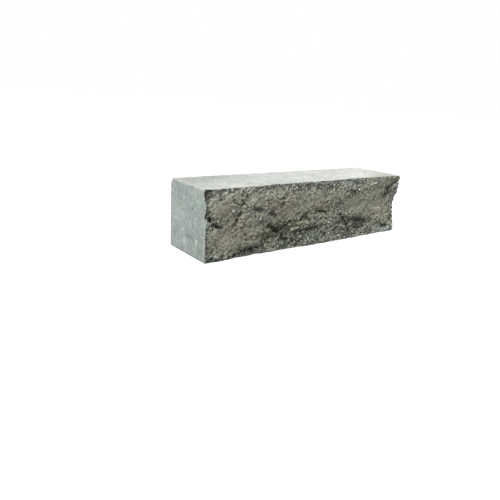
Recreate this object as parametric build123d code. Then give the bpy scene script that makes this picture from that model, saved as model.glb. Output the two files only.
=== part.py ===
from build123d import *
import os
from math import exp, hypot
from random import Random

# Split-face concrete wall block: one solid casting, moulded smooth on its bed, top, rear and ends, and
# broken off its twin along the long front. X runs along the wall, Y towards the rear, Z up. The origin is
# the middle of the bed. Lengths are in millimetres.

# Overall sizes of the block as it is sold, the depth from the moulded rear to the proudest point of the front
BLOCK_LENGTH = 600.0
BLOCK_HEIGHT = 150.0
BLOCK_DEPTH = 150.0

# Moulded edges: the steel mould leaves a small radius on each
ARRIS_RADIUS = 2.5

# The rear top corner at the left end is knocked off: what is missing along each of its three edges
CHIP_ALONG_LENGTH = 5.0
CHIP_ALONG_DEPTH = 9.0
CHIP_ALONG_HEIGHT = 13.0

# Split face: the break is a sheet of small flat facets. Spacing of their corners, how far each corner
# strays from its even place, and how far the sheet is drawn past the casting on every side
FACET_PITCH = 6.0
FACET_STRAY = 1.6
FACET_SEED = 3
BREAK_OVERRUN = 9.0

# Proud bosses (negative) and hollows (positive) left by the break. A centre is a share of the length from
# the left end and a share of the height from the bed, so the pattern follows the face. Reaches and depths
# are in millimetres: along, up, reach along, reach up, depth
SWELLS = [
    (0.075, 0.72, 42.0, 36.0, -4.5),  # round boss at the top left
    (-0.01, 0.98, 12.5, 17.0, 9.0),  # left top corner, which sits back
    (0.00, 0.63, 12.0, 7.0, 1.0),  # nick in the left end rim
    (0.00, 0.52, 10.0, 8.0, -4.0),  # tooth under that nick
    (0.075, 1.00, 22.0, 10.0, 2.3),  # top rim over the boss, drawn back
    (0.16, 0.34, 70.0, 30.0, -2.0),  # broad low swell under the boss
    (0.21, 0.80, 32.0, 26.0, -2.5),  # brow beside the boss
    (0.055, -0.04, 36.0, 18.0, -4.0),  # foot on the bed, left
    (0.20, 0.10, 44.0, 10.0, 2.5),  # undercut over that foot
    (0.30, 0.72, 40.0, 26.0, -2.0),  # lump over the dark hollow
    (0.33, 0.98, 44.0, 16.0, 5.0),  # top rim drawn back
    (0.34, 0.30, 48.0, 26.0, 6.5),  # dark hollow, lower middle
    (0.44, 0.60, 40.0, 26.0, -3.0),  # middle lump
    (0.52, 0.02, 60.0, 22.0, -3.6),  # foot on the bed, middle
    (0.54, 0.50, 34.0, 18.0, 4.0),  # pocket right of the middle
    (0.62, 0.78, 46.0, 26.0, -2.5),  # brow over the pocket
    (0.61, 0.28, 32.0, 20.0, -2.0),  # knuckle between the hollows
    (0.77, -0.04, 140.0, 22.0, -6.6),  # foot on the bed, right
    (0.75, 0.25, 54.0, 18.0, 6.0),  # dark hollow, right
    (0.87, 0.98, 50.0, 16.0, -4.5),  # top rim leaning out
    (0.82, 0.62, 52.0, 28.0, -2.5),  # broad panel at the right
    (0.91, 0.14, 30.0, 14.0, 3.5),  # undercut at the foot of the panel
    (0.93, 0.78, 18.0, 20.0, 3.5),  # hollow inside the right corner
    (1.01, 0.89, 44.0, 26.0, -6.0),  # right top corner, which overhangs
    (1.00, 0.46, 26.0, 24.0, 6.5),  # right end rim, bitten back
    (1.00, 0.08, 24.0, 18.0, -2.7),  # right end rim, foot
]

# Open steps between one flake and the next: a depth, then a run of points in the same shares
STEP_WIDTH = 4.5
STEPS = [
    (5.5, [(0.008, 0.63), (0.023, 0.56), (0.042, 0.49), (0.062, 0.47)]),
    (5.0, [(0.143, 0.64), (0.135, 0.59), (0.122, 0.49)]),
    (3.0, [(0.152, 0.77), (0.167, 0.81), (0.182, 0.86)]),
    (3.0, [(0.207, 0.68), (0.223, 0.65), (0.243, 0.63)]),
    (2.5, [(0.335, 0.68), (0.342, 0.75), (0.347, 0.81)]),
    (3.5, [(0.278, 0.59), (0.292, 0.55), (0.303, 0.51)]),
    (4.0, [(0.430, 0.43), (0.443, 0.49), (0.460, 0.47), (0.468, 0.40)]),
    (2.5, [(0.522, 0.53), (0.547, 0.50), (0.580, 0.49)]),
    (6.0, [(0.277, 0.39), (0.300, 0.35), (0.320, 0.29), (0.328, 0.25)]),
    (3.5, [(0.343, 0.31), (0.360, 0.36), (0.377, 0.41)]),
    (5.0, [(0.345, 0.23), (0.350, 0.17), (0.365, 0.13)]),
    (3.5, [(0.407, 0.23), (0.450, 0.26), (0.497, 0.25), (0.543, 0.29)]),
    (4.0, [(0.120, 0.03), (0.160, 0.05), (0.183, 0.09), (0.217, 0.11), (0.257, 0.11)]),
    (5.5, [(0.653, 0.41), (0.680, 0.32), (0.703, 0.21), (0.713, 0.12)]),
    (4.0, [(0.720, 0.32), (0.760, 0.29), (0.800, 0.26), (0.850, 0.24)]),
    (3.0, [(0.733, 0.16), (0.777, 0.13), (0.807, 0.17)]),
    (5.0, [(0.987, 0.90), (0.970, 0.87), (0.953, 0.79), (0.937, 0.67)]),
    (3.5, [(0.930, 0.11), (0.960, 0.09), (0.977, 0.15), (0.985, 0.24)]),
]

# Flakes that came off one by one, and coarse stones between them, spread by chance with one to each cell.
# Level and tilt are the most that one differs from the next, and roundness is how much each is rounded, all
# as shares of the depth
FLAKE_SPACING, FLAKE_DEPTH, FLAKE_SEED = 36.0, 4.0, 4668
FLAKE_LEVEL, FLAKE_TILT = 0.45, 0.9
STONE_SPACING, STONE_DEPTH, STONE_SEED = 17.0, 2.4, 1
STONE_LEVEL, STONE_TILT = 0.30, 0.25
ROUNDNESS = 0.8


def chance_scoops(spacing, level, tilt, seed):
    """Middle, level and tilts of the flakes or stones of one size, on the face and a cell past it."""
    draw = Random(seed)
    cells_along = round(BLOCK_LENGTH / spacing)
    cells_up = round(BLOCK_HEIGHT / spacing)
    return [
        (
            (column + draw.random()) * BLOCK_LENGTH / cells_along,
            (row + draw.random()) * BLOCK_HEIGHT / cells_up,
            draw.uniform(-level, level),
            draw.uniform(-tilt, tilt),
            draw.uniform(-tilt, tilt),
        )
        for column in range(-1, cells_along + 1)
        for row in range(-1, cells_up + 1)
    ]


FLAKES = chance_scoops(FLAKE_SPACING, FLAKE_LEVEL, FLAKE_TILT, FLAKE_SEED)
STONES = chance_scoops(STONE_SPACING, STONE_LEVEL, STONE_TILT, STONE_SEED)


def scooped(x, z, scoops, spacing):
    """Level of the break where round scoops overlap, with a ridge wherever one meets the next."""
    levels = []
    for middle_x, middle_z, level, tilt_x, tilt_z in scoops:
        off_x = (x - middle_x) / spacing
        off_z = (z - middle_z) / spacing
        levels.append(level + tilt_x * off_x + tilt_z * off_z + ROUNDNESS * (off_x**2 + off_z**2))
    return min(levels)


def distance_to_run(x, z, run):
    """Distance of a point of the face from a run of straight pieces."""
    nearest = BLOCK_LENGTH
    for (along_a, up_a), (along_b, up_b) in zip(run, run[1:]):
        start_x, start_z = along_a * BLOCK_LENGTH, up_a * BLOCK_HEIGHT
        run_x, run_z = along_b * BLOCK_LENGTH - start_x, up_b * BLOCK_HEIGHT - start_z
        share = ((x - start_x) * run_x + (z - start_z) * run_z) / (run_x**2 + run_z**2)
        share = min(max(share, 0.0), 1.0)
        nearest = min(nearest, hypot(x - start_x - share * run_x, z - start_z - share * run_z))
    return nearest


def relief(x, z):
    """Depth of the break behind its mean plane, x from the left end and z from the bed."""
    depth = FLAKE_DEPTH * scooped(x, z, FLAKES, FLAKE_SPACING)
    depth += STONE_DEPTH * scooped(x, z, STONES, STONE_SPACING)
    for along, up, reach_along, reach_up, swell_depth in SWELLS:
        off_x = (x - along * BLOCK_LENGTH) / reach_along
        off_z = (z - up * BLOCK_HEIGHT) / reach_up
        depth += swell_depth * exp(-(off_x**2 + off_z**2))
    for step_depth, run in STEPS:
        depth += step_depth * exp(-((distance_to_run(x, z, run) / STEP_WIDTH) ** 2))
    return depth


def break_corners():
    """Corners of the facets in columns from left to right, each strayed a little from an even grid."""
    draw = Random(FACET_SEED)
    along = round((BLOCK_LENGTH + 2 * BREAK_OVERRUN) / FACET_PITCH)
    up = round((BLOCK_HEIGHT + 2 * BREAK_OVERRUN) / FACET_PITCH)
    columns = []
    for column in range(along + 1):
        corners = []
        for row in range(up + 1):
            x = -BREAK_OVERRUN + (BLOCK_LENGTH + 2 * BREAK_OVERRUN) * column / along
            z = -BREAK_OVERRUN + (BLOCK_HEIGHT + 2 * BREAK_OVERRUN) * row / up
            x += draw.uniform(-FACET_STRAY, FACET_STRAY)
            z += draw.uniform(-FACET_STRAY, FACET_STRAY)
            corners.append(Vector(x - BLOCK_LENGTH / 2, relief(x, z), z))
        columns.append(corners)
    return columns


def break_sheet():
    """The sheet of facets that the blades leave, two to each four corners, folded the shorter way."""
    columns = break_corners()
    facets = []
    for left, right in zip(columns, columns[1:]):
        for low_left, low_right, high_right, high_left in zip(left, right, right[1:], left[1:]):
            rising = (high_right - low_left).length
            falling = (high_left - low_right).length
            if rising < falling:
                triangles = [(low_left, low_right, high_right), (low_left, high_right, high_left)]
            else:
                triangles = [(low_left, low_right, high_left), (low_right, high_right, high_left)]
            facets += [Face(Wire.make_polygon(triangle)) for triangle in triangles]
    return Shell(facets)


def twin_casting():
    """The casting as it leaves the mould: two blocks front to front in one piece, with small radii."""
    rear = BLOCK_DEPTH / 2
    casting = Pos(0, rear - BLOCK_DEPTH, BLOCK_HEIGHT / 2) * Box(BLOCK_LENGTH, 2 * BLOCK_DEPTH, BLOCK_HEIGHT)
    return fillet(casting.edges(), ARRIS_RADIUS)


def chip_plane():
    """The plane along which the rear top corner at the left end has come away."""
    corner = Vector(-BLOCK_LENGTH / 2, BLOCK_DEPTH / 2, BLOCK_HEIGHT)
    on_length = corner + Vector(CHIP_ALONG_LENGTH, 0, 0)
    on_depth = corner - Vector(0, CHIP_ALONG_DEPTH, 0)
    on_height = corner - Vector(0, 0, CHIP_ALONG_HEIGHT)
    return Plane(Face(Wire.make_polygon([on_length, on_depth, on_height])))


def rear_half(sheet):
    """The half of the casting behind the break."""
    return twin_casting().split(sheet, keep=Keep.ALL).sort_by(Axis.Y)[-1]


def split_block():
    """The casting split along the break, at its stated depth to the proudest point, without its chip."""
    sheet = Pos(0, -BLOCK_DEPTH / 2, 0) * break_sheet()
    proudest = rear_half(sheet).bounding_box().min.Y
    block = rear_half(Pos(0, -BLOCK_DEPTH / 2 - proudest, 0) * sheet)
    pieces = block.split(chip_plane(), keep=Keep.ALL)
    return pieces.sort_by(SortBy.VOLUME)[-1]


os.makedirs("parts", exist_ok=True)
wall_block = split_block()
export_step(wall_block, "parts/wall_block.step")
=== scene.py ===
import math

import bpy
import numpy as np
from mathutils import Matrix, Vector, noise
from mathutils.bvhtree import BVHTree


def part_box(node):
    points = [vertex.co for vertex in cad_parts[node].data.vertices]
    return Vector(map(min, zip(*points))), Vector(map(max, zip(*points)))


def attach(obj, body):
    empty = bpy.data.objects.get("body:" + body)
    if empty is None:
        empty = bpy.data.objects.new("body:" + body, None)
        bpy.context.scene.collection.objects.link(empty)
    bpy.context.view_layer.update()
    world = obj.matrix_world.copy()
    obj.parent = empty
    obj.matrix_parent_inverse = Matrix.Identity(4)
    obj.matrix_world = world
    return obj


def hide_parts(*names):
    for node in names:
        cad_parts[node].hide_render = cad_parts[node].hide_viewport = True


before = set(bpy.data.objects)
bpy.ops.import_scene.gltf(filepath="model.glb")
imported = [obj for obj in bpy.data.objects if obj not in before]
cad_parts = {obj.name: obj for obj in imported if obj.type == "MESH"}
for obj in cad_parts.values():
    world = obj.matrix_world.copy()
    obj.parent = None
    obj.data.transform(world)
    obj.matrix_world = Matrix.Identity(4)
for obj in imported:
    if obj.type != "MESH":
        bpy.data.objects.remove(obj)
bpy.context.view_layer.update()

# The casting
# One dense concrete block, vibrated and pressed in a steel mould as half of a twin, so that its bed, top,
# rear and ends are smooth with small radii. Its mesh follows the block's own lines: along it, up it and back.

LOW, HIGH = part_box("wall_block")
LENGTH = HIGH.x - LOW.x
HEIGHT = HIGH.z - LOW.z
REAR = HIGH.y
ARRIS = 0.0025
MESH_LINE = 0.00125
LINES_ALONG = round(LENGTH / MESH_LINE)
LINES_UP = round(HEIGHT / MESH_LINE)
LINES_BACK = round((REAR - LOW.y) / MESH_LINE)
LAYER_SHIFT_Y, LAYER_SHIFT_Z = 17.3, -9.1


def seeded(x, y, z, size, layer):
    """Point in noise space for a pattern of this size. Each layer is its own cut, the same on each run."""
    return Vector((x / size, y / size + LAYER_SHIFT_Y * layer, z / size + LAYER_SHIFT_Z * layer))


def face_noise(x, z, size, layer):
    """Smooth noise from about -0.9 to 0.9 at a point of the split face."""
    return noise.noise(seeded(x, 0, z, size, layer))


# The split face
# The long front is where the twin was broken off. The solid has its forms, flakes and larger stones, and the
# mesh adds what is finer: small stones, grains, sharp lips on the open steps and pockets that lost a stone.

# Size and depth of each pattern, and how much its cells differ in level and tilt, as shares of that depth
LUMP, LUMP_DEPTH, LUMP_LEVEL = 0.0120, 0.0014, 0.30
CHIP, CHIP_DEPTH, CHIP_LEVEL, CHIP_TILT = 0.0068, 0.0012, 0.45, 1.2
GRAIN, GRAIN_DEPTH = 0.0060, 0.0013
BEAD, BEAD_DEPTH = 0.0042, 0.0012
POCKET, POCKET_DEPTH = 0.0070, 0.0027

# The grains' fall from one octave to the next, how much finer each one is, and how many there are
GRAIN_OCTAVES = (0.45, 2.1, 3)

# A pocket opens where its noise passes this level, and is a full one this far above it. The dark batch has
# more pockets and the calm stretches fewer. A finer noise of half the size adds its share
POCKET_FROM, POCKET_SPAN = 0.36, 0.4
POCKET_IN_DARK, POCKET_IN_CALM = 0.12, 0.25
POCKET_FINER = 0.5

# The patterns are bent in wide curves and made ragged in small ones: how far, as a share of their own size,
# and the size of the curves. Then how ragged each is, where chips are 1
BEND, BEND_SIZE = 0.4, 0.02
RAGGED, RAGGED_SIZE = 0.35, 0.004
LUMP_RAGGED, BEAD_RAGGED, POCKET_RAGGED = 0.4, 0.6, 1.6

# How much calm takes from the relief, the least that it leaves, and how much the dark batch adds
CALM_LOSS, LEAST_ROUGH, DARK_GAIN = 0.75, 0.2, 0.35
BEAD_LEAST, BEAD_FROM_ROUGH = 0.4, 0.6

# The open steps: width of the lip, share of the depth that the solid leaves out, wander of the lip in wide
# and in small curves, and how far it gapes, from the least to the most
STEP_LIP, STEP_SHARE = 0.0026, 0.55
LIP_SWAY, LIP_SWAY_SIZE = 0.0055, 0.010
LIP_TEETH, LIP_TEETH_SIZE = 0.003, 0.004
GAPE_SIZE, LEAST_GAPE, MEAN_GAPE, MOST_GAPE = 0.012, 0.35, 0.9, 1.3

# How far the edges of the solid's own facets are shifted, and the size of the curves in which they are. The
# solid is read from this far in front of it, and clear of its radii
EDGE_SWAY, EDGE_SWAY_SIZE = 0.0036, 0.007
READ_FROM, READ_INSET = 0.01, 1.2 * ARRIS

# The dark batch lies in clouds, and the same clouds lay painted shade along the bed, the right rim and the
# deep
# hollows: (from the left end, over the bed, reach along, reach up) in metres, strength
CHARCOAL_AND_SHADE_CLOUDS = [
    (0.001, 0.040, 0.005, 0.040, 0.70),
    (0.001, 0.110, 0.006, 0.030, 0.90),
    (0.003, 0.144, 0.014, 0.012, 1.60),
    (0.004, 0.098, 0.006, 0.006, 0.80),
    (0.012, 0.088, 0.006, 0.005, 1.00),
    (0.018, 0.081, 0.007, 0.005, 1.30),
    (0.020, 0.002, 0.040, 0.008, 1.10),
    (0.026, 0.075, 0.007, 0.004, 1.30),
    (0.035, 0.074, 0.008, 0.003, 0.90),
    (0.040, 0.146, 0.040, 0.007, 0.60),
    (0.086, 0.002, 0.034, 0.006, 0.80),
    (0.086, 0.062, 0.032, 0.012, 0.30),
    (0.088, 0.118, 0.005, 0.007, 0.80),
    (0.096, 0.130, 0.006, 0.006, 0.80),
    (0.100, 0.108, 0.012, 0.010, 0.40),
    (0.111, 0.106, 0.006, 0.004, 0.90),
    (0.120, 0.006, 0.042, 0.010, 1.20),
    (0.128, 0.064, 0.016, 0.012, 0.35),
    (0.134, 0.100, 0.014, 0.006, 0.60),
    (0.144, 0.014, 0.018, 0.008, 0.60),
    (0.150, 0.143, 0.050, 0.006, 0.40),
    (0.162, 0.030, 0.018, 0.010, 1.30),
    (0.165, 0.034, 0.022, 0.014, 1.00),
    (0.170, 0.086, 0.010, 0.009, 0.60),
    (0.174, 0.057, 0.014, 0.007, 0.90),
    (0.182, 0.040, 0.045, 0.016, 1.25),
    (0.182, 0.042, 0.020, 0.012, 1.70),
    (0.186, 0.035, 0.020, 0.012, 1.30),
    (0.192, 0.046, 0.026, 0.014, 1.50),
    (0.200, 0.112, 0.007, 0.011, 0.60),
    (0.208, 0.024, 0.016, 0.014, 1.30),
    (0.214, 0.010, 0.024, 0.012, 1.20),
    (0.216, 0.045, 0.018, 0.014, 1.20),
    (0.218, 0.024, 0.030, 0.012, 1.00),
    (0.227, 0.064, 0.010, 0.006, 0.50),
    (0.240, 0.062, 0.050, 0.010, 0.35),
    (0.240, 0.135, 0.022, 0.007, 0.60),
    (0.243, 0.020, 0.032, 0.013, 0.90),
    (0.245, 0.012, 0.050, 0.016, 0.85),
    (0.262, 0.110, 0.020, 0.010, 0.40),
    (0.265, 0.036, 0.070, 0.016, 0.95),
    (0.268, 0.035, 0.034, 0.012, 1.10),
    (0.270, 0.069, 0.013, 0.010, 0.90),
    (0.275, 0.028, 0.040, 0.012, 0.90),
    (0.275, 0.141, 0.018, 0.006, 0.50),
    (0.285, 0.012, 0.030, 0.012, 0.60),
    (0.305, 0.142, 0.030, 0.007, 0.50),
    (0.306, 0.034, 0.022, 0.012, 1.10),
    (0.308, 0.040, 0.030, 0.012, 1.00),
    (0.322, 0.022, 0.054, 0.026, 0.65),
    (0.322, 0.078, 0.020, 0.005, 0.70),
    (0.344, 0.136, 0.036, 0.012, 0.50),
    (0.355, 0.060, 0.050, 0.014, 0.60),
    (0.372, 0.004, 0.036, 0.008, 0.70),
    (0.372, 0.034, 0.040, 0.030, 0.60),
    (0.372, 0.068, 0.018, 0.010, 0.50),
    (0.378, 0.092, 0.009, 0.011, 0.50),
    (0.392, 0.060, 0.010, 0.007, 1.00),
    (0.398, 0.032, 0.018, 0.022, 0.90),
    (0.400, 0.034, 0.022, 0.010, 0.90),
    (0.404, 0.050, 0.014, 0.010, 1.20),
    (0.405, 0.024, 0.030, 0.014, 0.70),
    (0.421, 0.032, 0.014, 0.018, 1.20),
    (0.425, 0.119, 0.022, 0.012, 0.90),
    (0.426, 0.009, 0.032, 0.010, 1.10),
    (0.432, 0.018, 0.022, 0.010, 1.00),
    (0.450, 0.032, 0.050, 0.018, 0.60),
    (0.462, 0.029, 0.036, 0.015, 1.40),
    (0.478, 0.012, 0.042, 0.013, 0.80),
    (0.492, 0.028, 0.022, 0.010, 0.80),
    (0.494, 0.013, 0.034, 0.012, 1.00),
    (0.538, 0.022, 0.020, 0.008, 0.40),
    (0.554, 0.101, 0.016, 0.010, 1.30),
    (0.560, 0.003, 0.044, 0.008, 0.35),
    (0.564, 0.117, 0.012, 0.012, 0.80),
    (0.570, 0.018, 0.028, 0.010, 0.90),
    (0.574, 0.107, 0.012, 0.009, 0.90),
    (0.580, 0.137, 0.020, 0.007, 0.90),
    (0.590, 0.012, 0.012, 0.012, 0.60),
    (0.592, 0.042, 0.010, 0.015, 0.90),
    (0.598, 0.062, 0.006, 0.024, 0.80),
    (0.599, 0.098, 0.006, 0.022, 0.80),
]

# Calm stretches, where the break ran evenly through the mortar
CALM_STRETCHES = [
    (0.034, 0.110, 0.024, 0.020, 0.90),
    (0.052, 0.130, 0.022, 0.010, 0.80),
    (0.058, 0.046, 0.048, 0.022, 1.00),
    (0.078, 0.040, 0.022, 0.016, 1.20),
    (0.112, 0.064, 0.052, 0.022, 0.95),
    (0.120, 0.128, 0.026, 0.010, 0.50),
    (0.165, 0.042, 0.014, 0.012, 0.50),
    (0.190, 0.130, 0.034, 0.010, 0.50),
    (0.192, 0.082, 0.024, 0.012, 0.70),
    (0.210, 0.008, 0.020, 0.010, 0.40),
    (0.222, 0.090, 0.026, 0.014, 0.80),
    (0.262, 0.106, 0.028, 0.022, 0.90),
    (0.312, 0.116, 0.060, 0.018, 0.70),
    (0.355, 0.024, 0.026, 0.018, 0.60),
    (0.366, 0.112, 0.028, 0.016, 0.80),
    (0.448, 0.086, 0.048, 0.020, 1.10),
    (0.500, 0.066, 0.036, 0.024, 0.70),
    (0.505, 0.022, 0.024, 0.010, 0.40),
    (0.540, 0.080, 0.048, 0.028, 0.90),
    (0.545, 0.136, 0.030, 0.012, 0.60),
]

# Single pale stones that stand proud: (from the left end, over the bed, radius) in metres
PALE_STONES = [
    (0.063, 0.104, 0.0030),
    (0.138, 0.079, 0.0030),
    (0.355, 0.139, 0.0024),
    (0.447, 0.122, 0.0026),
    (0.387, 0.072, 0.0022),
    (0.533, 0.068, 0.0026),
    (0.349, 0.023, 0.0024),
]

# How far they stand out of the face around them, and the reach of that bump in radii
STONE_PROUD = 0.0018
STONE_SKIRT = 1.5

# Open steps between flakes: depth, then a run of (metres from the left end, metres over the bed)
OPEN_STEPS = [
    (0.0052, [(0.003, 0.100), (0.011, 0.089), (0.024, 0.075), (0.038, 0.073)]),
    (0.0050, [(0.086, 0.096), (0.081, 0.088), (0.073, 0.073)]),
    (0.0045, [(0.085, 0.108), (0.089, 0.120), (0.098, 0.132)]),
    (0.0035, [(0.106, 0.107), (0.114, 0.106)]),
    (0.0040, [(0.122, 0.101), (0.132, 0.099), (0.142, 0.098)]),
    (0.0025, [(0.201, 0.102), (0.205, 0.112), (0.208, 0.121)]),
    (0.0035, [(0.167, 0.089), (0.175, 0.083), (0.182, 0.077)]),
    (0.0040, [(0.258, 0.064), (0.266, 0.073), (0.276, 0.070), (0.281, 0.060)]),
    (0.0025, [(0.313, 0.079), (0.328, 0.075), (0.348, 0.074)]),
    (0.0060, [(0.166, 0.058), (0.180, 0.053), (0.192, 0.044), (0.197, 0.038)]),
    (0.0035, [(0.206, 0.046), (0.216, 0.054), (0.226, 0.062)]),
    (0.0050, [(0.207, 0.034), (0.210, 0.026), (0.219, 0.020)]),
    (0.0035, [(0.244, 0.035), (0.270, 0.039), (0.298, 0.037), (0.326, 0.043)]),
    (0.0028, [(0.072, 0.004), (0.096, 0.007), (0.110, 0.013), (0.130, 0.016), (0.154, 0.016)]),
    (0.0032, [(0.392, 0.062), (0.408, 0.048), (0.422, 0.032), (0.428, 0.018)]),
    (0.0040, [(0.432, 0.048), (0.456, 0.043), (0.480, 0.039), (0.510, 0.036)]),
    (0.0030, [(0.440, 0.024), (0.466, 0.020), (0.484, 0.026)]),
    (0.0050, [(0.592, 0.135), (0.582, 0.130), (0.572, 0.119), (0.562, 0.101)]),
    (0.0035, [(0.558, 0.017), (0.576, 0.013), (0.586, 0.022), (0.591, 0.036)]),
]

# Factors that set the middles of neighbouring cells far apart, so that each cell draws its own value
HASH_X, HASH_Y, HASH_Z = 91.7, 73.1, 57.9

cad_surface = BVHTree.FromObject(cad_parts["wall_block"], bpy.context.evaluated_depsgraph_get())


def hashed(centre, salt):
    """A fixed value from -1 to 1 for one cell of a pattern, and another one for each salt."""
    return noise.cell(Vector((centre.x * HASH_X + salt, centre.y * HASH_Y, centre.z * HASH_Z)))


def lumps(point):
    """Rounded lumps with creases between them, one for each coarse stone that stands out."""
    distances, centres = noise.voronoi(point)
    return min(LUMP_LEVEL * hashed(centre, 5.0) + distance**2 for distance, centre in zip(distances, centres))


def chips(point):
    """Small facets, each at its own depth and tilt, with little ledges between them."""
    centre = noise.voronoi(point)[1][0]
    tilt = (point.x - centre.x) * hashed(centre, 3.0) + (point.z - centre.z) * hashed(centre, 7.0)
    return CHIP_LEVEL * hashed(centre, 1.0) + CHIP_TILT * tilt


def clouds_at(clouds, x, z):
    """How strongly a list of clouds lies over points of the split face, 0 where there is none."""
    share = np.zeros(np.broadcast(x, z).shape)
    for at_x, at_z, reach_x, reach_z, strength in clouds:
        off = ((x - at_x) / reach_x) ** 2 + ((z - at_z) / reach_z) ** 2
        share = np.maximum(share, strength * np.exp(-off))
    return share


def step_depth(x, z):
    """How much further back than the solid the open steps go at one point, with ragged lips."""
    wander = LIP_SWAY * face_noise(x, z, LIP_SWAY_SIZE, 4) + LIP_TEETH * face_noise(x, z, LIP_TEETH_SIZE, 14)
    gape = min(max(MEAN_GAPE + face_noise(x, z, GAPE_SIZE, 24), LEAST_GAPE), MOST_GAPE)
    depth = 0.0
    for deepest, run in OPEN_STEPS:
        for (ax, az), (bx, bz) in zip(run, run[1:]):
            length = math.hypot(bx - ax, bz - az)
            along = ((x - ax) * (bx - ax) + (z - az) * (bz - az)) / length**2
            share = min(max(along, 0.0), 1.0)
            gap = math.hypot(x - ax - share * (bx - ax), z - az - share * (bz - az)) + wander
            depth = max(depth, deepest * math.exp(-((gap / STEP_LIP) ** 2)))
    return STEP_SHARE * gape * depth


def solid_front(x, z):
    """Y of the solid's own break near one point, a little to the side so that its facets get ragged edges."""
    shift_x = EDGE_SWAY * face_noise(x, z, EDGE_SWAY_SIZE, 48)
    shift_z = EDGE_SWAY * face_noise(x, z, EDGE_SWAY_SIZE, 58)
    from_x = min(max(x + shift_x, READ_INSET), LENGTH - READ_INSET) + LOW.x
    from_z = min(max(z + shift_z, READ_INSET), HEIGHT - READ_INSET)
    return cad_surface.ray_cast(Vector((from_x, LOW.y - READ_FROM, from_z)), Vector((0, 1, 0)))[0].y


def break_detail(x, z, calm, dark):
    """What the solid leaves out: depth of the small stones, grains, pockets and step lips at one point."""
    bend = Vector((face_noise(x, z, BEND_SIZE, 8), 0, face_noise(x, z, BEND_SIZE, 18))) * BEND
    ragged = Vector((face_noise(x, z, RAGGED_SIZE, 28), 0, face_noise(x, z, RAGGED_SIZE, 38))) * RAGGED
    rough = max(1 - CALM_LOSS * calm, LEAST_ROUGH) + DARK_GAIN * dark
    depth = rough * LUMP_DEPTH * lumps(seeded(x, 0, z, LUMP, 2) + bend + LUMP_RAGGED * ragged)
    depth += rough * CHIP_DEPTH * chips(seeded(x, 0, z, CHIP, 3) + ragged)
    depth += rough * GRAIN_DEPTH * noise.fractal(seeded(x, 0, z, GRAIN, 5), *GRAIN_OCTAVES)
    bead_share = BEAD_LEAST + BEAD_FROM_ROUGH * rough
    depth += bead_share * BEAD_DEPTH * lumps(seeded(x, 0, z, BEAD, 13) + BEAD_RAGGED * ragged)
    pocket = noise.noise(seeded(x, 0, z, POCKET, 6) + ragged)
    pocket += POCKET_FINER * noise.noise(seeded(x, 0, z, POCKET / 2, 7) + POCKET_RAGGED * ragged)
    pocket += POCKET_IN_DARK * dark - POCKET_IN_CALM * calm
    depth += POCKET_DEPTH * max(pocket - POCKET_FROM, 0.0) / POCKET_SPAN
    return depth + step_depth(x, z)


def evened(field, reach):
    """The field with each value averaged over its neighbours as far as reach mesh lines away."""
    for axis in (0, 1):
        count = field.shape[axis]
        sums = np.concatenate([np.zeros_like(field.take([0], axis)), field.cumsum(axis)], axis)
        last = np.minimum(np.arange(count) + reach + 1, count)
        first = np.maximum(np.arange(count) - reach, 0)
        widths = (last - first).reshape((-1, 1) if axis == 0 else (1, -1))
        field = (sums.take(last, axis) - sums.take(first, axis)) / widths
    return field


across = np.linspace(0.0, LENGTH, LINES_ALONG + 1)
upward = np.linspace(0.0, HEIGHT, LINES_UP + 1)
calm_share = clouds_at(CALM_STRETCHES, across[:, None], upward[None, :])
dark_and_shade_clouds = clouds_at(CHARCOAL_AND_SHADE_CLOUDS, across[:, None], upward[None, :])
solid = np.array([[solid_front(x, z) for z in upward.tolist()] for x in across.tolist()])
detail = np.empty_like(solid)
for i, x in enumerate(across.tolist()):
    for k, z in enumerate(upward.tolist()):
        detail[i, k] = break_detail(x, z, calm_share[i, k], dark_and_shade_clouds[i, k])

# The solid's folds are softened over a few mesh lines, over more where the break is calm. The detail goes
# both ways from it, and stones level off softly before the block's stated depth
FOLD_LINES, CALM_FOLD_LINES = 1, 4
STONE_CAP = 0.0007
STONE_LIMIT = 0.1 * STONE_CAP
evenness = np.clip(calm_share, 0.0, 1.0)
solid = (1 - evenness) * evened(solid, FOLD_LINES) + evenness * evened(solid, CALM_FOLD_LINES)
proud = (solid + detail - detail.mean() - LOW.y) / STONE_CAP
front = LOW.y + STONE_CAP * np.logaddexp(0.0, proud)
for at_x, at_z, radius in PALE_STONES:
    far = np.hypot(across[:, None] - at_x, upward[None, :] - at_z) / (STONE_SKIRT * radius)
    seat = front[far < 1.0].mean()
    front += np.clip(1 - far**2, 0.0, 1.0) * (seat - STONE_PROUD - front)
front = np.maximum(front, LOW.y + STONE_LIMIT)

# The moulded faces
# Concrete pressed against the steel mould: flat, with radii on its edges and round holes where air was left.
# The rims of the split face have shed crumbs since, and the rear top corner at the left end is knocked off.

# Crumbs: size, depth, share lost everywhere and in the worst places, and how fast that fades from the rim
CRUMB, CRUMB_DEPTH = 0.006, 0.0022
CRUMB_LEAST, CRUMB_MOST, CRUMB_SLOPE = 0.12, 2.0, 0.8

# Air holes: spacing, depth, share of the places that have one, radius as a share of the spacing and how much
# it differs, and how far behind the split face they start
AIR_HOLE, AIR_HOLE_DEPTH, AIR_HOLE_SHARE = 0.0100, 0.0016, 0.35
HOLE_RADIUS, HOLE_RADIUS_SPREAD = 0.16, 0.10
HOLES_FROM = 0.004

# How far the moulded faces stray from flat, always inwards, and the size of the waves
SKIN_SWAY, SKIN_SWAY_SIZE = 0.00012, 0.03

# The lost corner: what is missing along, back and up, how much deeper the mesh goes, and its roughness
CORNER_OFF = Vector((0.005, 0.009, 0.013))
CORNER_SINK, CORNER_ROUGH, CORNER_GRAIN = 0.0004, 0.0008, 0.004

# A point nearer than this to the core between the radii has no moulded face over it
CORE_NEAR = 1e-9

chip_normal = Vector((-1 / CORNER_OFF.x, 1 / CORNER_OFF.y, 1 / CORNER_OFF.z)).normalized()
chip_point = Vector((LOW.x + CORNER_OFF.x, REAR, HEIGHT))


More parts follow.
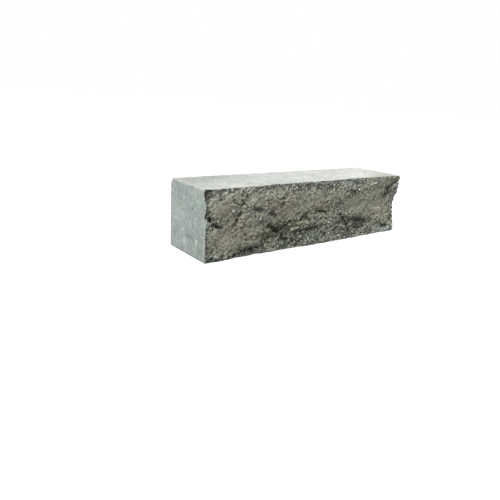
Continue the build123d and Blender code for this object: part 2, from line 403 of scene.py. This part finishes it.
def air_hole(point):
    """Depth of the air holes at a point of the moulded skin: a round pit in some cells, none in most."""
    distances, centres = noise.voronoi(seeded(*point, AIR_HOLE, 11))
    if hashed(centres[0], 2.0) > 2 * AIR_HOLE_SHARE - 1:
        return 0.0
    radius = HOLE_RADIUS + HOLE_RADIUS_SPREAD * hashed(centres[0], 4.0)
    widest = HOLE_RADIUS + HOLE_RADIUS_SPREAD
    return AIR_HOLE_DEPTH * max(1 - (distances[0] / radius) ** 2, 0.0) * (radius / widest)


def place(i, j, k):
    """Where a crossing of the mesh lines lies on the finished block."""
    x = LOW.x + i * LENGTH / LINES_ALONG
    z = k * HEIGHT / LINES_UP
    rim = front[i, k]
    behind = (REAR - rim) * (j / LINES_BACK)
    point = Vector((x, rim + behind, z))
    core = Vector((
        min(max(x, LOW.x + ARRIS), HIGH.x - ARRIS),
        min(point.y, REAR - ARRIS),
        min(max(z, ARRIS), HEIGHT - ARRIS),
    ))
    out = point - core
    on_skin = out.length > CORE_NEAR
    if out.length > ARRIS:
        point = core + out * (ARRIS / out.length)
    crumb = noise.noise(seeded(point.x, point.y, point.z, CRUMB, 9))
    crumb = CRUMB_DEPTH * (CRUMB_LEAST + max(crumb, 0.0) ** 2 * CRUMB_MOST)
    if j == 0:
        edge = min(x - LOW.x, HIGH.x - x, z, HEIGHT - z)
        point.y += max(crumb - CRUMB_SLOPE * edge, 0.0)
    elif on_skin:
        inward = -out.normalized()
        sway = SKIN_SWAY * noise.noise(seeded(*point, SKIN_SWAY_SIZE, 10))
        point += inward * (max(crumb - CRUMB_SLOPE * behind, 0.0) + SKIN_SWAY + sway)
        if behind > HOLES_FROM:
            point += inward * air_hole(point)
    over = (point - chip_point).dot(chip_normal)
    if over > 0:
        rough = CORNER_ROUGH * noise.noise(seeded(*point, CORNER_GRAIN, 12))
        point -= chip_normal * (over + CORNER_SINK + rough)
    return point


# The six sides as quads on whole-number lines: i along, j back from the split face, k up
corner_of = {}


def corner(i, j, k):
    """Number of the mesh point at a crossing, the same for every quad that shares it."""
    return corner_of.setdefault((i, j, k), len(corner_of))


def quad(*crossings):
    """One face of the mesh between four crossings of its lines."""
    return [corner(*crossing) for crossing in crossings]


split_quads, moulded_quads = [], []
for i in range(LINES_ALONG):
    for k in range(LINES_UP):
        split_quads.append(quad((i, 0, k), (i + 1, 0, k), (i + 1, 0, k + 1), (i, 0, k + 1)))
for i in range(LINES_ALONG):
    for k in range(LINES_UP):
        j = LINES_BACK
        moulded_quads.append(quad((i, j, k), (i, j, k + 1), (i + 1, j, k + 1), (i + 1, j, k)))
for i in range(LINES_ALONG):
    for j in range(LINES_BACK):
        k = LINES_UP
        moulded_quads.append(quad((i, j, 0), (i, j + 1, 0), (i + 1, j + 1, 0), (i + 1, j, 0)))
        moulded_quads.append(quad((i, j, k), (i + 1, j, k), (i + 1, j + 1, k), (i, j + 1, k)))
for j in range(LINES_BACK):
    for k in range(LINES_UP):
        i = LINES_ALONG
        moulded_quads.append(quad((0, j, k), (0, j, k + 1), (0, j + 1, k + 1), (0, j + 1, k)))
        moulded_quads.append(quad((i, j, k), (i, j + 1, k), (i, j + 1, k + 1), (i, j, k + 1)))

dense = bpy.data.meshes.new("block_dense")
dense.from_pydata([place(*lines) for lines in corner_of], [], split_quads + moulded_quads)
dense.polygons.foreach_set("material_index", [0] * len(split_quads) + [1] * len(moulded_quads))
dense_block = bpy.data.objects.new("block_dense", dense)
bpy.context.scene.collection.objects.link(dense_block)

# Flat stretches of the skin give up mesh lines that only the split face needs
MOST_TRIANGLES = 190000
SHARP_FOLD = math.radians(55)
thinning = dense_block.modifiers.new("thinning", "DECIMATE")
thinning.ratio = MOST_TRIANGLES / (2 * len(dense.polygons))
thinned = dense_block.evaluated_get(bpy.context.evaluated_depsgraph_get())
block_mesh = bpy.data.meshes.new_from_object(thinned)
bpy.data.objects.remove(dense_block)
block_mesh.name = "block"
block = bpy.data.objects.new("block", block_mesh)
bpy.context.scene.collection.objects.link(block)
block_mesh.polygons.foreach_set("use_smooth", [True] * len(block_mesh.polygons))
block_mesh.set_sharp_from_angle(angle=SHARP_FOLD)

# The broken concrete
# Taupe mortar with stones and sand in it, clouded with charcoal where the dark batch was fed in. Painted
# shade darkens its crevices, the bed, the right rim and the deep hollows, and a painted highlight pales its
# proud stones. The batches were hardly mixed in the hopper, so that grey, mauve, brown and khaki lie over it
# in clouds too.

# Stops of the mortar's own colour, and the colour or the cast of each batch
TAUPE = [(0.35, (0.290, 0.284, 0.224)), (0.5, (0.314, 0.316, 0.253)), (0.66, (0.307, 0.323, 0.254))]
KHAKI = (0.316, 0.329, 0.246, 1.0)
MAUVE = (0.322, 0.298, 0.232, 1.0)
COOL_GREY = (0.262, 0.291, 0.260, 1.0)
# The charcoal colour is also laid as painted shade along the bed, the right rim and the deep hollows
CHARCOAL_AND_SHADE = (0.086, 0.091, 0.071, 1.0)
TEAL_CAST = (0.955, 1.0, 0.985, 1.0)
BROWN_CAST = (1.02, 0.99, 0.87, 1.0)
DRY_CAST = (1.30, 1.29, 1.27, 1.0)
NO_CAST = (1.0, 1.0, 1.0, 1.0)
PALE_STONE = (0.84, 0.84, 0.75, 1.0)

# How far the edges of the clouds wander, and how much one grain has more of the dark batch than the next
CLOUD_WANDER, GRAIN_WANDER = 1.4, 1.5

# Coarse sand, fine sand and grit, as grains to a metre
COARSE_SAND, FINE_SAND, GRIT = 250.0, 520.0, 700.0

# Cool grey and teal fines
GREY_CLOUDS = [
    (0.000, 0.075, 0.007, 0.090, 0.90),
    (0.020, 0.003, 0.040, 0.010, 1.10),
    (0.035, 0.136, 0.022, 0.014, 0.60),
    (0.060, 0.146, 0.060, 0.012, 0.50),
    (0.100, 0.004, 0.070, 0.010, 1.00),
    (0.180, 0.147, 0.160, 0.012, 0.55),
    (0.210, 0.012, 0.022, 0.020, 1.10),
    (0.216, 0.026, 0.030, 0.012, 0.80),
    (0.300, 0.018, 0.070, 0.022, 0.60),
    (0.330, 0.145, 0.120, 0.012, 0.60),
    (0.350, 0.020, 0.060, 0.018, 0.60),
    (0.425, 0.140, 0.044, 0.014, 1.00),
    (0.430, 0.006, 0.034, 0.012, 0.90),
    (0.460, 0.036, 0.050, 0.020, 0.60),
    (0.500, 0.016, 0.040, 0.014, 0.60),
    (0.520, 0.140, 0.060, 0.012, 0.45),
    (0.555, 0.006, 0.044, 0.012, 1.00),
    (0.590, 0.126, 0.020, 0.030, 0.50),
    (0.592, 0.090, 0.022, 0.050, 0.60),
]

# Brownish mauve mortar
MAUVE_CLOUDS = [
    (0.050, 0.104, 0.024, 0.010, 0.80),
    (0.054, 0.050, 0.020, 0.024, 1.20),
    (0.086, 0.068, 0.030, 0.015, 1.10),
    (0.108, 0.040, 0.040, 0.012, 0.60),
    (0.176, 0.106, 0.024, 0.018, 0.90),
    (0.222, 0.120, 0.024, 0.012, 0.90),
    (0.225, 0.082, 0.030, 0.014, 0.60),
    (0.302, 0.096, 0.034, 0.014, 0.70),
    (0.545, 0.062, 0.036, 0.036, 0.50),
    (0.560, 0.146, 0.034, 0.008, 0.80),
]

# A brown stain around the dark hollow
BROWN_CLOUDS = [
    (0.110, 0.056, 0.060, 0.026, 0.30),
    (0.170, 0.044, 0.050, 0.022, 1.00),
    (0.215, 0.036, 0.050, 0.016, 0.60),
    (0.240, 0.056, 0.050, 0.016, 0.80),
    (0.330, 0.082, 0.040, 0.018, 0.40),
]

# Khaki, where the batch was richer in sand
KHAKI_CLOUDS = [
    (0.036, 0.026, 0.030, 0.018, 0.70),
    (0.190, 0.130, 0.040, 0.014, 0.50),
    (0.280, 0.090, 0.040, 0.020, 0.40),
    (0.450, 0.088, 0.060, 0.030, 1.00),
]

# Drier and paler places
DRY_CLOUDS = [
    (0.008, 0.060, 0.016, 0.016, 0.80),
    (0.056, 0.018, 0.024, 0.010, 0.60),
    (0.075, 0.140, 0.042, 0.014, 1.40),
    (0.110, 0.118, 0.030, 0.010, 0.50),
    (0.120, 0.092, 0.024, 0.010, 0.50),
    (0.130, 0.138, 0.030, 0.012, 0.70),
    (0.210, 0.090, 0.030, 0.014, 0.40),
    (0.330, 0.130, 0.040, 0.012, 0.60),
    (0.375, 0.140, 0.030, 0.012, 0.70),
    (0.475, 0.142, 0.056, 0.014, 1.35),
    (0.480, 0.056, 0.030, 0.008, 0.50),
    (0.530, 0.140, 0.040, 0.014, 0.80),
    (0.536, 0.062, 0.036, 0.036, 1.20),
    (0.565, 0.040, 0.022, 0.020, 0.80),
    (0.590, 0.062, 0.014, 0.030, 0.80),
]

# How far each mesh point lies behind the face around it, near by and further off, in millimetres. Crevices
# are above zero and proud stones below. Past the range the painted shade and highlight no longer change
CREVICE_LINES = (3, 8)
CREVICE_SHARE = 0.6
CREVICE_RANGE = 3.0
behind_face = sum(CREVICE_SHARE * (front - evened(front, reach)) for reach in CREVICE_LINES) * 1000

points = np.empty(len(block_mesh.vertices) * 3)
block_mesh.vertices.foreach_get("co", points)
from_left = points[0::3] - LOW.x
over_bed = points[2::3]
nearest_i = np.clip(np.rint(from_left / LENGTH * LINES_ALONG).astype(int), 0, LINES_ALONG)
nearest_k = np.clip(np.rint(over_bed / HEIGHT * LINES_UP).astype(int), 0, LINES_UP)
clouds_of = {
    "charcoal_and_shade": CHARCOAL_AND_SHADE_CLOUDS,
    "grey": GREY_CLOUDS,
    "mauve": MAUVE_CLOUDS,
    "brown": BROWN_CLOUDS,
    "khaki": KHAKI_CLOUDS,
    "dry": DRY_CLOUDS,
    "calm": CALM_STRETCHES,
}
for name, clouds in clouds_of.items():
    painting = block_mesh.attributes.new(name, "FLOAT", "POINT")
    painting.data.foreach_set("value", clouds_at(clouds, from_left, over_bed))
painting = block_mesh.attributes.new("crevice", "FLOAT", "POINT")
painting.data.foreach_set("value", behind_face[nearest_i, nearest_k])


def added(tree, kind, inputs, **settings):
    """Adds a node and sets what it says. An input that is given another node's output is joined to it."""
    node = tree.nodes.new(kind)
    for name, value in settings.items():
        setattr(node, name, value)
    for name, value in inputs.items():
        if isinstance(value, bpy.types.NodeSocket):
            tree.links.new(value, node.inputs[name])
        else:
            node.inputs[name].default_value = value
    return node


def maths(tree, operation, *values):
    """A sum on numbers, each one plain or another node's output."""
    return added(tree, "ShaderNodeMath", dict(enumerate(values)), operation=operation).outputs["Value"]


def ranged(tree, value, low, high, first=0.0, last=1.0):
    """What runs from low to high, as a value that runs from first to last and stays between them."""
    return added(tree, "ShaderNodeMapRange", {
        "Value": value, "From Min": low, "From Max": high, "To Min": first, "To Max": last}).outputs["Result"]


def cloudy(tree, place_at, scale, detail, roughness=0.5):
    """Noise with about scale patches to a metre."""
    return added(tree, "ShaderNodeTexNoise", {
        "Vector": place_at, "Scale": scale, "Detail": detail, "Roughness": roughness})


def cells(tree, place_at, scale):
    """A pattern of cells, with about scale cells to a metre and a colour for each."""
    return added(tree, "ShaderNodeTexVoronoi", {"Vector": place_at, "Scale": scale}, feature="F1")


def painted(tree, name):
    """The value that lies on the mesh under this name."""
    return added(tree, "ShaderNodeAttribute", {}, attribute_name=name).outputs["Fac"]


def ramp(tree, source, stops):
    """A colour ramp on the source, with stops of (place, colour)."""
    node = added(tree, "ShaderNodeValToRGB", {"Fac": source})
    elements = node.color_ramp.elements
    while len(elements) < len(stops):
        elements.new(0.5)
    for element, (place_at, colour) in zip(elements, stops):
        element.position = place_at
        element.color = (*colour, 1.0)
    return node.outputs["Color"]


def tones(tree, source, *stops):
    """A ramp of plain greys with stops of (place, value), as a mask or as a tone to multiply by."""
    return ramp(tree, source, [(place_at, (value, value, value)) for place_at, value in stops])


def mixed(tree, factor, first, second, blend_type="MIX"):
    """Two colours in one. This node's colour sockets share their names with others, so they go by number."""
    return added(tree, "ShaderNodeMix", {"Factor": factor, 6: first, 7: second},
                 data_type="RGBA", blend_type=blend_type).outputs[2]


def multiplied(tree, colour, tone, factor=1.0):
    """The colour with a tone over it."""
    return mixed(tree, factor, colour, tone, "MULTIPLY")


def far_from(tree, place_at, middle, reach):
    """Distance from the middle of a patch, as a share of its reach each way."""
    scaled = added(tree, "ShaderNodeMapping", {
        "Vector": place_at, "Location": middle, "Scale": reach}, vector_type="TEXTURE").outputs["Vector"]
    return added(tree, "ShaderNodeVectorMath", {0: scaled}, operation="LENGTH").outputs["Value"]


def finish_surface(tree, colour, fine, strength, height, smoothest, roughest):
    """Gives the material's shader its colour, and small relief and uneven gloss from one fine noise."""
    surface = tree.nodes["Principled BSDF"]
    bump = added(tree, "ShaderNodeBump", {"Height": fine, "Strength": strength, "Distance": height})
    tree.links.new(colour, surface.inputs["Base Color"])
    tree.links.new(bump.outputs["Normal"], surface.inputs["Normal"])
    tree.links.new(tones(tree, fine, (0.3, smoothest), (0.7, roughest)), surface.inputs["Roughness"])


broken_concrete = bpy.data.materials.new("broken_concrete")
broken_concrete.use_nodes = True
broken = broken_concrete.node_tree
on_break = added(broken, "ShaderNodeTexCoord", {}).outputs["Object"]
cloud_edge = cloudy(broken, on_break, 70.0, 6.0, 0.75).outputs["Fac"]
wandering = maths(broken, "MULTIPLY_ADD", cloud_edge, CLOUD_WANDER, -CLOUD_WANDER / 2)
coarse_sand = cells(broken, on_break, COARSE_SAND).outputs["Color"]
fine_sand = cells(broken, on_break, FINE_SAND).outputs["Color"]
by_grain = maths(broken, "MULTIPLY_ADD", coarse_sand, -GRAIN_WANDER, GRAIN_WANDER / 2)


def batch_mask(name, start, end, grains=None):
    """Where a batch of another colour lies, ragged as mixing in the hopper leaves it, or grain by grain."""
    share = maths(broken, "ADD", painted(broken, name), wandering)
    if grains is not None:
        share = maths(broken, "ADD", share, grains)
    return tones(broken, share, (start, 0.0), (end, 1.0))


warmth = cloudy(broken, on_break, 26.0, 4.0).outputs["Fac"]
colour = ramp(broken, warmth, TAUPE)
colour = mixed(broken, batch_mask("khaki", 0.20, 0.80), colour, KHAKI)
colour = mixed(broken, batch_mask("mauve", 0.20, 0.80), colour, MAUVE)
colour = mixed(broken, batch_mask("grey", 0.20, 0.75), colour, COOL_GREY)
# The charcoal clouds are partly the dark batch and partly painted shade along the bed, the right rim and the
# deep hollows
colour = mixed(broken, batch_mask("charcoal_and_shade", 0.25, 0.75, by_grain), colour, CHARCOAL_AND_SHADE)
cast = mixed(broken, batch_mask("grey", 0.30, 1.00), NO_CAST, TEAL_CAST)
cast = mixed(broken, batch_mask("brown", 0.20, 0.90), cast, BROWN_CAST)
colour = multiplied(broken, colour, cast)

# A tone for each grain of sand, seen less where mortar covers the calm stretches
calm = painted(broken, "calm")
sand_seen = tones(broken, calm, (0.0, 0.71), (1.0, 0.29))
coarse_tone = tones(broken, coarse_sand, (0.0, 0.45), (0.25, 0.80), (0.6, 1.05), (0.9, 1.25), (1.0, 1.9))
fine_tone = tones(broken, fine_sand, (0.0, 0.50), (0.4, 0.95), (0.8, 1.15), (1.0, 1.5))
colour = multiplied(broken, colour, coarse_tone, sand_seen)
colour = multiplied(broken, colour, fine_tone, sand_seen)

# Painted shade darkens the crevices and a painted highlight makes the proud stones paler
crevice = ranged(broken, painted(broken, "crevice"), -CREVICE_RANGE, CREVICE_RANGE)
crevice_shade_and_highlight = tones(broken, crevice, (0.20, 1.25), (0.50, 1.0), (0.70, 0.55), (0.90, 0.25))
colour = multiplied(broken, colour, crevice_shade_and_highlight)
calm_tone = tones(broken, calm, (0.0, 1.0), (1.0, 0.99))
colour = multiplied(broken, colour, calm_tone)
dry_cast = mixed(broken, batch_mask("dry", 0.15, 1.0), NO_CAST, DRY_CAST)
colour = multiplied(broken, colour, dry_cast)
for at_x, at_z, radius in PALE_STONES:
    far = far_from(broken, on_break, (LOW.x + at_x, LOW.y, at_z), (radius, 1.0, radius))
    colour = mixed(broken, tones(broken, far, (0.75, 1.0), (1.0, 0.0)), colour, PALE_STONE)
grit = cloudy(broken, on_break, GRIT, 4.0, 0.65).outputs["Fac"]
finish_surface(broken, colour, grit, strength=0.6, height=0.0008, smoothest=0.82, roughest=0.97)
block_mesh.materials.append(broken_concrete)

# The moulded skin
# Cement paste pressed against steel: cool grey with a green cast, paler where the head pressed the top and
# paler still towards its right end by painted light, with cloudy darker and paler marks, faint upright drag
# lines on the ends, pin holes painted as spots of shade and a few pale stones showing through.

# Stops of the paste's colour on the sides and, made paler from left to right by painted light, on the top
PASTE = [(0.32, (0.385, 0.432, 0.410)), (0.48, (0.408, 0.455, 0.430)), (0.66, (0.440, 0.478, 0.455))]
TOP_PASTE_AND_PAINTED_LIGHT = [
    (0.18, (0.400, 0.415, 0.395)),
    (0.45, (0.452, 0.468, 0.442)),
    (0.70, (0.500, 0.515, 0.482)),
    (0.92, (0.552, 0.562, 0.530)),
]

# How far under the top its own colour starts and is full. Painted light makes it paler from left to right
# between these places, by these shares
TOP_FROM, TOP_FULL = 0.0016, 0.0006
PALER_FROM, PALER_TO = -0.30, 0.22
LEAST_PAINTED_LIGHT, MOST_PAINTED_LIGHT = -0.20, 0.35

# Darker and paler patches with ragged edges on the top: (middle along, back, reach along, back, tone)
TOP_PATCHES = [
    (-0.220, 0.050, 0.130, 0.050, (0.80, 0.79, 0.79)),
    (-0.245, 0.015, 0.013, 0.060, (0.90, 0.92, 0.90)),
    (-0.278, -0.035, 0.022, 0.030, (0.94, 1.02, 0.97)),
    (-0.180, 0.055, 0.030, 0.024, (0.90, 0.94, 0.90)),
    (-0.205, -0.050, 0.040, 0.018, (1.11, 1.12, 1.08)),
    (-0.290, -0.006, 0.020, 0.024, (0.84, 0.86, 0.86)),
    (-0.232, -0.022, 0.024, 0.012, (1.16, 1.17, 1.16)),
    (-0.228, 0.006, 0.034, 0.010, (0.94, 0.95, 0.95)),
    (-0.152, -0.020, 0.040, 0.014, (1.09, 1.10, 1.09)),
    (-0.110, -0.015, 0.055, 0.032, (0.95, 0.98, 0.97)),
    (-0.150, -0.055, 0.060, 0.012, (1.07, 1.08, 1.05)),
    (-0.030, 0.045, 0.040, 0.026, (0.91, 0.88, 0.91)),
    (-0.125, 0.050, 0.050, 0.022, (0.90, 0.93, 0.91)),
    (-0.010, -0.020, 0.040, 0.014, (1.06, 1.07, 1.08)),
    (0.048, 0.050, 0.040, 0.020, (0.86, 0.91, 0.90)),
    (0.120, 0.010, 0.080, 0.040, (1.01, 1.02, 0.97)),
    (0.140, 0.066, 0.060, 0.014, (0.93, 0.93, 0.87)),
    (0.215, 0.000, 0.050, 0.036, (1.04, 1.05, 1.05)),
    (0.250, 0.010, 0.050, 0.050, (0.93, 0.93, 0.93)),
    (0.252, -0.056, 0.058, 0.030, (0.77, 0.76, 0.75)),
    (0.280, -0.036, 0.040, 0.040, (0.86, 0.85, 0.84)),
    (0.225, -0.066, 0.040, 0.012, (0.90, 0.90, 0.88)),
    (0.292, 0.012, 0.014, 0.030, (0.94, 0.93, 0.92)),
    (0.165, -0.052, 0.036, 0.012, (1.06, 1.07, 1.06)),
]

# The same on the left end: (middle back, up, reach back, up, tone)
END_PATCHES = [
    (0.030, 0.125, 0.032, 0.022, (0.90, 0.95, 0.96)),
    (-0.032, 0.116, 0.030, 0.016, (1.01, 1.08, 1.03)),
    (0.030, 0.103, 0.028, 0.006, (0.92, 0.94, 0.90)),
    (-0.003, 0.040, 0.022, 0.009, (0.72, 0.75, 0.75)),
    (0.012, 0.045, 0.040, 0.016, (0.91, 0.94, 0.94)),
    (-0.046, 0.018, 0.026, 0.020, (0.83, 0.88, 0.83)),
    (-0.030, 0.140, 0.030, 0.010, (1.03, 1.05, 0.99)),
    (-0.055, 0.014, 0.024, 0.020, (0.88, 0.91, 0.88)),
    (0.000, 0.012, 0.060, 0.014, (0.93, 0.94, 0.94)),
    (-0.050, 0.040, 0.026, 0.024, (0.93, 0.94, 0.93)),
    (0.050, 0.034, 0.028, 0.034, (0.94, 0.93, 0.94)),
    (0.068, 0.075, 0.013, 0.090, (1.06, 1.02, 1.03)),
    (-0.066, 0.090, 0.007, 0.060, (1.08, 1.06, 1.02)),
    (0.058, 0.032, 0.010, 0.010, (0.92, 0.91, 0.93)),
    (0.046, 0.066, 0.009, 0.007, (1.13, 1.14, 1.14)),
    (0.044, 0.034, 0.008, 0.008, (1.11, 1.12, 1.12)),
]

# Pits, smears and stones with clean edges on the left end, in the same terms. The pits are dark spots of
# painted shade
END_MARKS = [
    (0.010, 0.089, 0.006, 0.012, (0.87, 0.88, 0.88)),
    (-0.012, 0.067, 0.008, 0.005, (1.13, 1.14, 1.12)),
    (-0.037, 0.118, 0.012, 0.006, (1.08, 1.11, 1.09)),
    (0.014, 0.024, 0.007, 0.006, (1.25, 1.26, 1.25)),
    (-0.007, 0.134, 0.008, 0.004, (1.12, 1.16, 1.10)),
    (-0.003, 0.133, 0.0035, 0.004, (0.62, 0.62, 0.62)),
    (-0.024, 0.120, 0.004, 0.004, (0.65, 0.65, 0.65)),
    (-0.018, 0.103, 0.0045, 0.004, (0.55, 0.55, 0.55)),
    (0.053, 0.130, 0.004, 0.003, (0.70, 0.70, 0.70)),
    (0.004, 0.078, 0.0035, 0.005, (0.62, 0.62, 0.62)),
    (-0.046, 0.088, 0.005, 0.003, (0.75, 0.75, 0.75)),
    (-0.022, 0.039, 0.006, 0.004, (0.70, 0.70, 0.70)),
    (-0.045, 0.043, 0.005, 0.003, (0.78, 0.78, 0.78)),
    (0.038, 0.026, 0.004, 0.003, (0.70, 0.70, 0.70)),
    (-0.037, 0.038, 0.0050, 0.0045, (1.75, 1.75, 1.70)),
    (0.020, 0.050, 0.0040, 0.0035, (1.75, 1.75, 1.70)),
    (-0.035, 0.085, 0.0038, 0.0032, (1.60, 1.60, 1.55)),
]

# Reach of a patch through the skin, and how far its ragged edges stray
SKIN_REACH = 0.02
PATCH_SWAY = 0.012

moulded_skin = bpy.data.materials.new("moulded_skin")
moulded_skin.use_nodes = True
skin = moulded_skin.node_tree
on_face = added(skin, "ShaderNodeTexCoord", {}).outputs["Object"]


def skin_noise(size, stretch=(1, 1, 1), detail=3.0, roughness=0.6):
    """Noise whose patches measure about size metres, longer where stretch is over 1."""
    scaled = added(skin, "ShaderNodeMapping", {
        "Vector": on_face, "Scale": tuple(1 / (size * share) for share in stretch)}).outputs["Vector"]
    return cloudy(skin, scaled, 1.0, detail, roughness).outputs["Fac"]


def skin_spots(spacing, share, tone):
    """Round spots in some cells of a pattern, each weaker or stronger, with tone as the strongest."""
    pattern = cells(skin, on_face, 1 / spacing)
    chosen = ranged(skin, pattern.outputs["Color"], 1 - share, 1.0)
    core = tones(skin, pattern.outputs["Distance"], (0.10, 1.0), (0.22, 0.0))
    return tones(skin, maths(skin, "MULTIPLY", chosen, core), (0.0, 1.0), (1.0, tone))


def skin_patch(base, place_at, middle, reach, tone):
    """The colour with one soft-edged patch of another tone over it."""
    far = far_from(skin, place_at, middle, reach)
    return multiplied(skin, base, ramp(skin, far, [(0.30, tone), (1.0, (1.0, 1.0, 1.0))]))


# Where the press head wiped it, the top is drier and paler, and painted light makes it paler still towards
# the right end
sides = added(skin, "ShaderNodeSeparateXYZ", {"Vector": on_face})
on_top = ranged(skin, sides.outputs["Z"], HEIGHT - TOP_FROM, HEIGHT - TOP_FULL)
painted_light_rightward = ranged(skin, sides.outputs["X"], PALER_FROM, PALER_TO, LEAST_PAINTED_LIGHT, MOST_PAINTED_LIGHT)
bloom_and_painted_light = maths(skin, "ADD", skin_noise(0.028, (7, 1, 1), detail=4.0), painted_light_rightward)
paste = ramp(skin, skin_noise(0.075, detail=5.0), PASTE)
colour = mixed(skin, on_top, paste, ramp(skin, bloom_and_painted_light, TOP_PASTE_AND_PAINTED_LIGHT))

stray = cloudy(skin, on_face, 90.0, 3.0).outputs["Color"]
sway = added(skin, "ShaderNodeVectorMath", {
    0: stray, 1: (PATCH_SWAY,) * 3, 2: (-PATCH_SWAY / 2,) * 3}, operation="MULTIPLY_ADD").outputs["Vector"]
swayed = added(skin, "ShaderNodeVectorMath", {0: on_face, 1: sway}, operation="ADD").outputs["Vector"]
for at_x, at_y, reach_x, reach_y, tone in TOP_PATCHES:
    colour = skin_patch(colour, swayed, (at_x, at_y, HEIGHT), (reach_x, reach_y, SKIN_REACH), tone)
for marks, place_at in ((END_PATCHES, swayed), (END_MARKS, on_face)):
    for at_y, at_z, reach_y, reach_z, tone in marks:
        colour = skin_patch(colour, place_at, (LOW.x, at_y, at_z), (SKIN_REACH, reach_y, reach_z), tone)

# Sand under the paste, mottling, upright drag lines, painted shade in pin holes, and dark and pale stones
# just under the skin
speck = skin_noise(0.0042, detail=3.0, roughness=0.75)
side_speck = tones(skin, speck, (0.28, 0.70), (0.5, 1.0), (0.72, 1.24))
top_speck = tones(skin, speck, (0.28, 0.74), (0.5, 1.0), (0.72, 1.20))
speck_tone = mixed(skin, on_top, side_speck, top_speck)
mottle = skin_noise(0.013, detail=4.0, roughness=0.7)
mottle_tone = tones(skin, mottle, (0.30, 0.82), (0.5, 1.0), (0.70, 1.13))
broad = skin_noise(0.034, (2.2, 1, 1))
broad_tone = tones(skin, broad, (0.32, 0.91), (0.5, 1.0), (0.68, 1.07))
drag = skin_noise(0.009, (1, 1, 14))
drag_tone = tones(skin, drag, (0.30, 0.90), (0.5, 1.0), (0.70, 1.08))
pin_hole_shade = skin_spots(0.0095, 0.40, 0.35)
dark_spots = skin_spots(0.024, 0.50, 0.60)
pale_spots = skin_spots(0.021, 0.50, 1.50)
for tone in (speck_tone, mottle_tone, broad_tone, drag_tone, pin_hole_shade, dark_spots, pale_spots):
    colour = multiplied(skin, colour, tone)
finish_surface(skin, colour, speck, strength=0.5, height=0.0006, smoothest=0.80, roughest=0.92)
block_mesh.materials.append(moulded_skin)

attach(block, "root")
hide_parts("wall_block")

# The ground
# A plain pale floor for the block to rest on, which is no part of it. It looks white to the camera, but
# throws little light back on the block.

FLOOR_REACH = 30.0
FLOOR_SEEN = (0.93, 0.93, 0.93, 1.0)
FLOOR_LIT = (0.18, 0.18, 0.18, 1.0)


def seen_plainly(tree):
    """1 for what the camera sees, itself or in or through a glossy or clear surface, and 0 for light."""
    ray = added(tree, "ShaderNodeLightPath", {})
    seen = maths(tree, "MAXIMUM", ray.outputs["Is Camera Ray"], ray.outputs["Is Glossy Ray"])
    return maths(tree, "MAXIMUM", seen, ray.outputs["Is Transmission Ray"])


floor_mesh = bpy.data.meshes.new("floor")
floor_mesh.from_pydata(
    [(-FLOOR_REACH, -FLOOR_REACH, 0), (FLOOR_REACH, -FLOOR_REACH, 0), (FLOOR_REACH, FLOOR_REACH, 0),
     (-FLOOR_REACH, FLOOR_REACH, 0)], [], [(0, 1, 2, 3)])
floor = bpy.data.objects.new("floor", floor_mesh)
bpy.context.scene.collection.objects.link(floor)
pale_floor = bpy.data.materials.new("pale_floor")
pale_floor.use_nodes = True
floor_tree = pale_floor.node_tree
surface = floor_tree.nodes["Principled BSDF"]
surface.inputs["Roughness"].default_value = 0.9
surface.inputs["Specular IOR Level"].default_value = 0.1
shade = mixed(floor_tree, seen_plainly(floor_tree), FLOOR_LIT, FLOOR_SEEN)
floor_tree.links.new(shade, surface.inputs["Base Color"])
floor_mesh.materials.append(pale_floor)

# The studio light
# One very large soft lamp high up, to the left and in front, and an even pale surround. Both stay at a level
# at which the concrete's colours show about as they are written. The camera sees the surround white.

LAMP_STRENGTH = 3.6
LAMP_ANGLE = math.radians(40)
LAMP_FROM = Vector((-0.45, -0.26, 0.86))
SURROUND = 0.45
lamp_data = bpy.data.lights.new("overhead", "SUN")
lamp_data.energy = LAMP_STRENGTH
lamp_data.angle = LAMP_ANGLE
lamp = bpy.data.objects.new("overhead", lamp_data)
bpy.context.scene.collection.objects.link(lamp)
lamp.rotation_euler = LAMP_FROM.to_track_quat("Z", "Y").to_euler()

world = bpy.data.worlds.new("surround")
bpy.context.scene.world = world
world.use_nodes = True
background = world.node_tree.nodes["Background"]
background.inputs["Color"].default_value = (1, 1, 1, 1)
strength = ranged(world.node_tree, seen_plainly(world.node_tree), 0.0, 1.0, SURROUND, 1.0)
world.node_tree.links.new(strength, background.inputs["Strength"])

# The camera
# It stands in front of the left end, a little over the block, where the photograph was taken from. With this
# place and lens the straight moulded edges lie as they do there.

LENS_MM, SENSOR_MM = 34.366, 36.0
CAMERA_AT = (-0.7876, -0.8327, 0.3268)
CAMERA_DEGREES = (72.071, -3.449, -37.137)
camera_data = bpy.data.cameras.new("camera")
camera_data.lens = LENS_MM
camera_data.sensor_width = SENSOR_MM
camera = bpy.data.objects.new("camera", camera_data)
bpy.context.scene.collection.objects.link(camera)
camera.location = CAMERA_AT
camera.rotation_euler = [math.radians(turn) for turn in CAMERA_DEGREES]
bpy.context.scene.camera = camera
bpy.context.scene.view_settings.view_transform = "Standard"
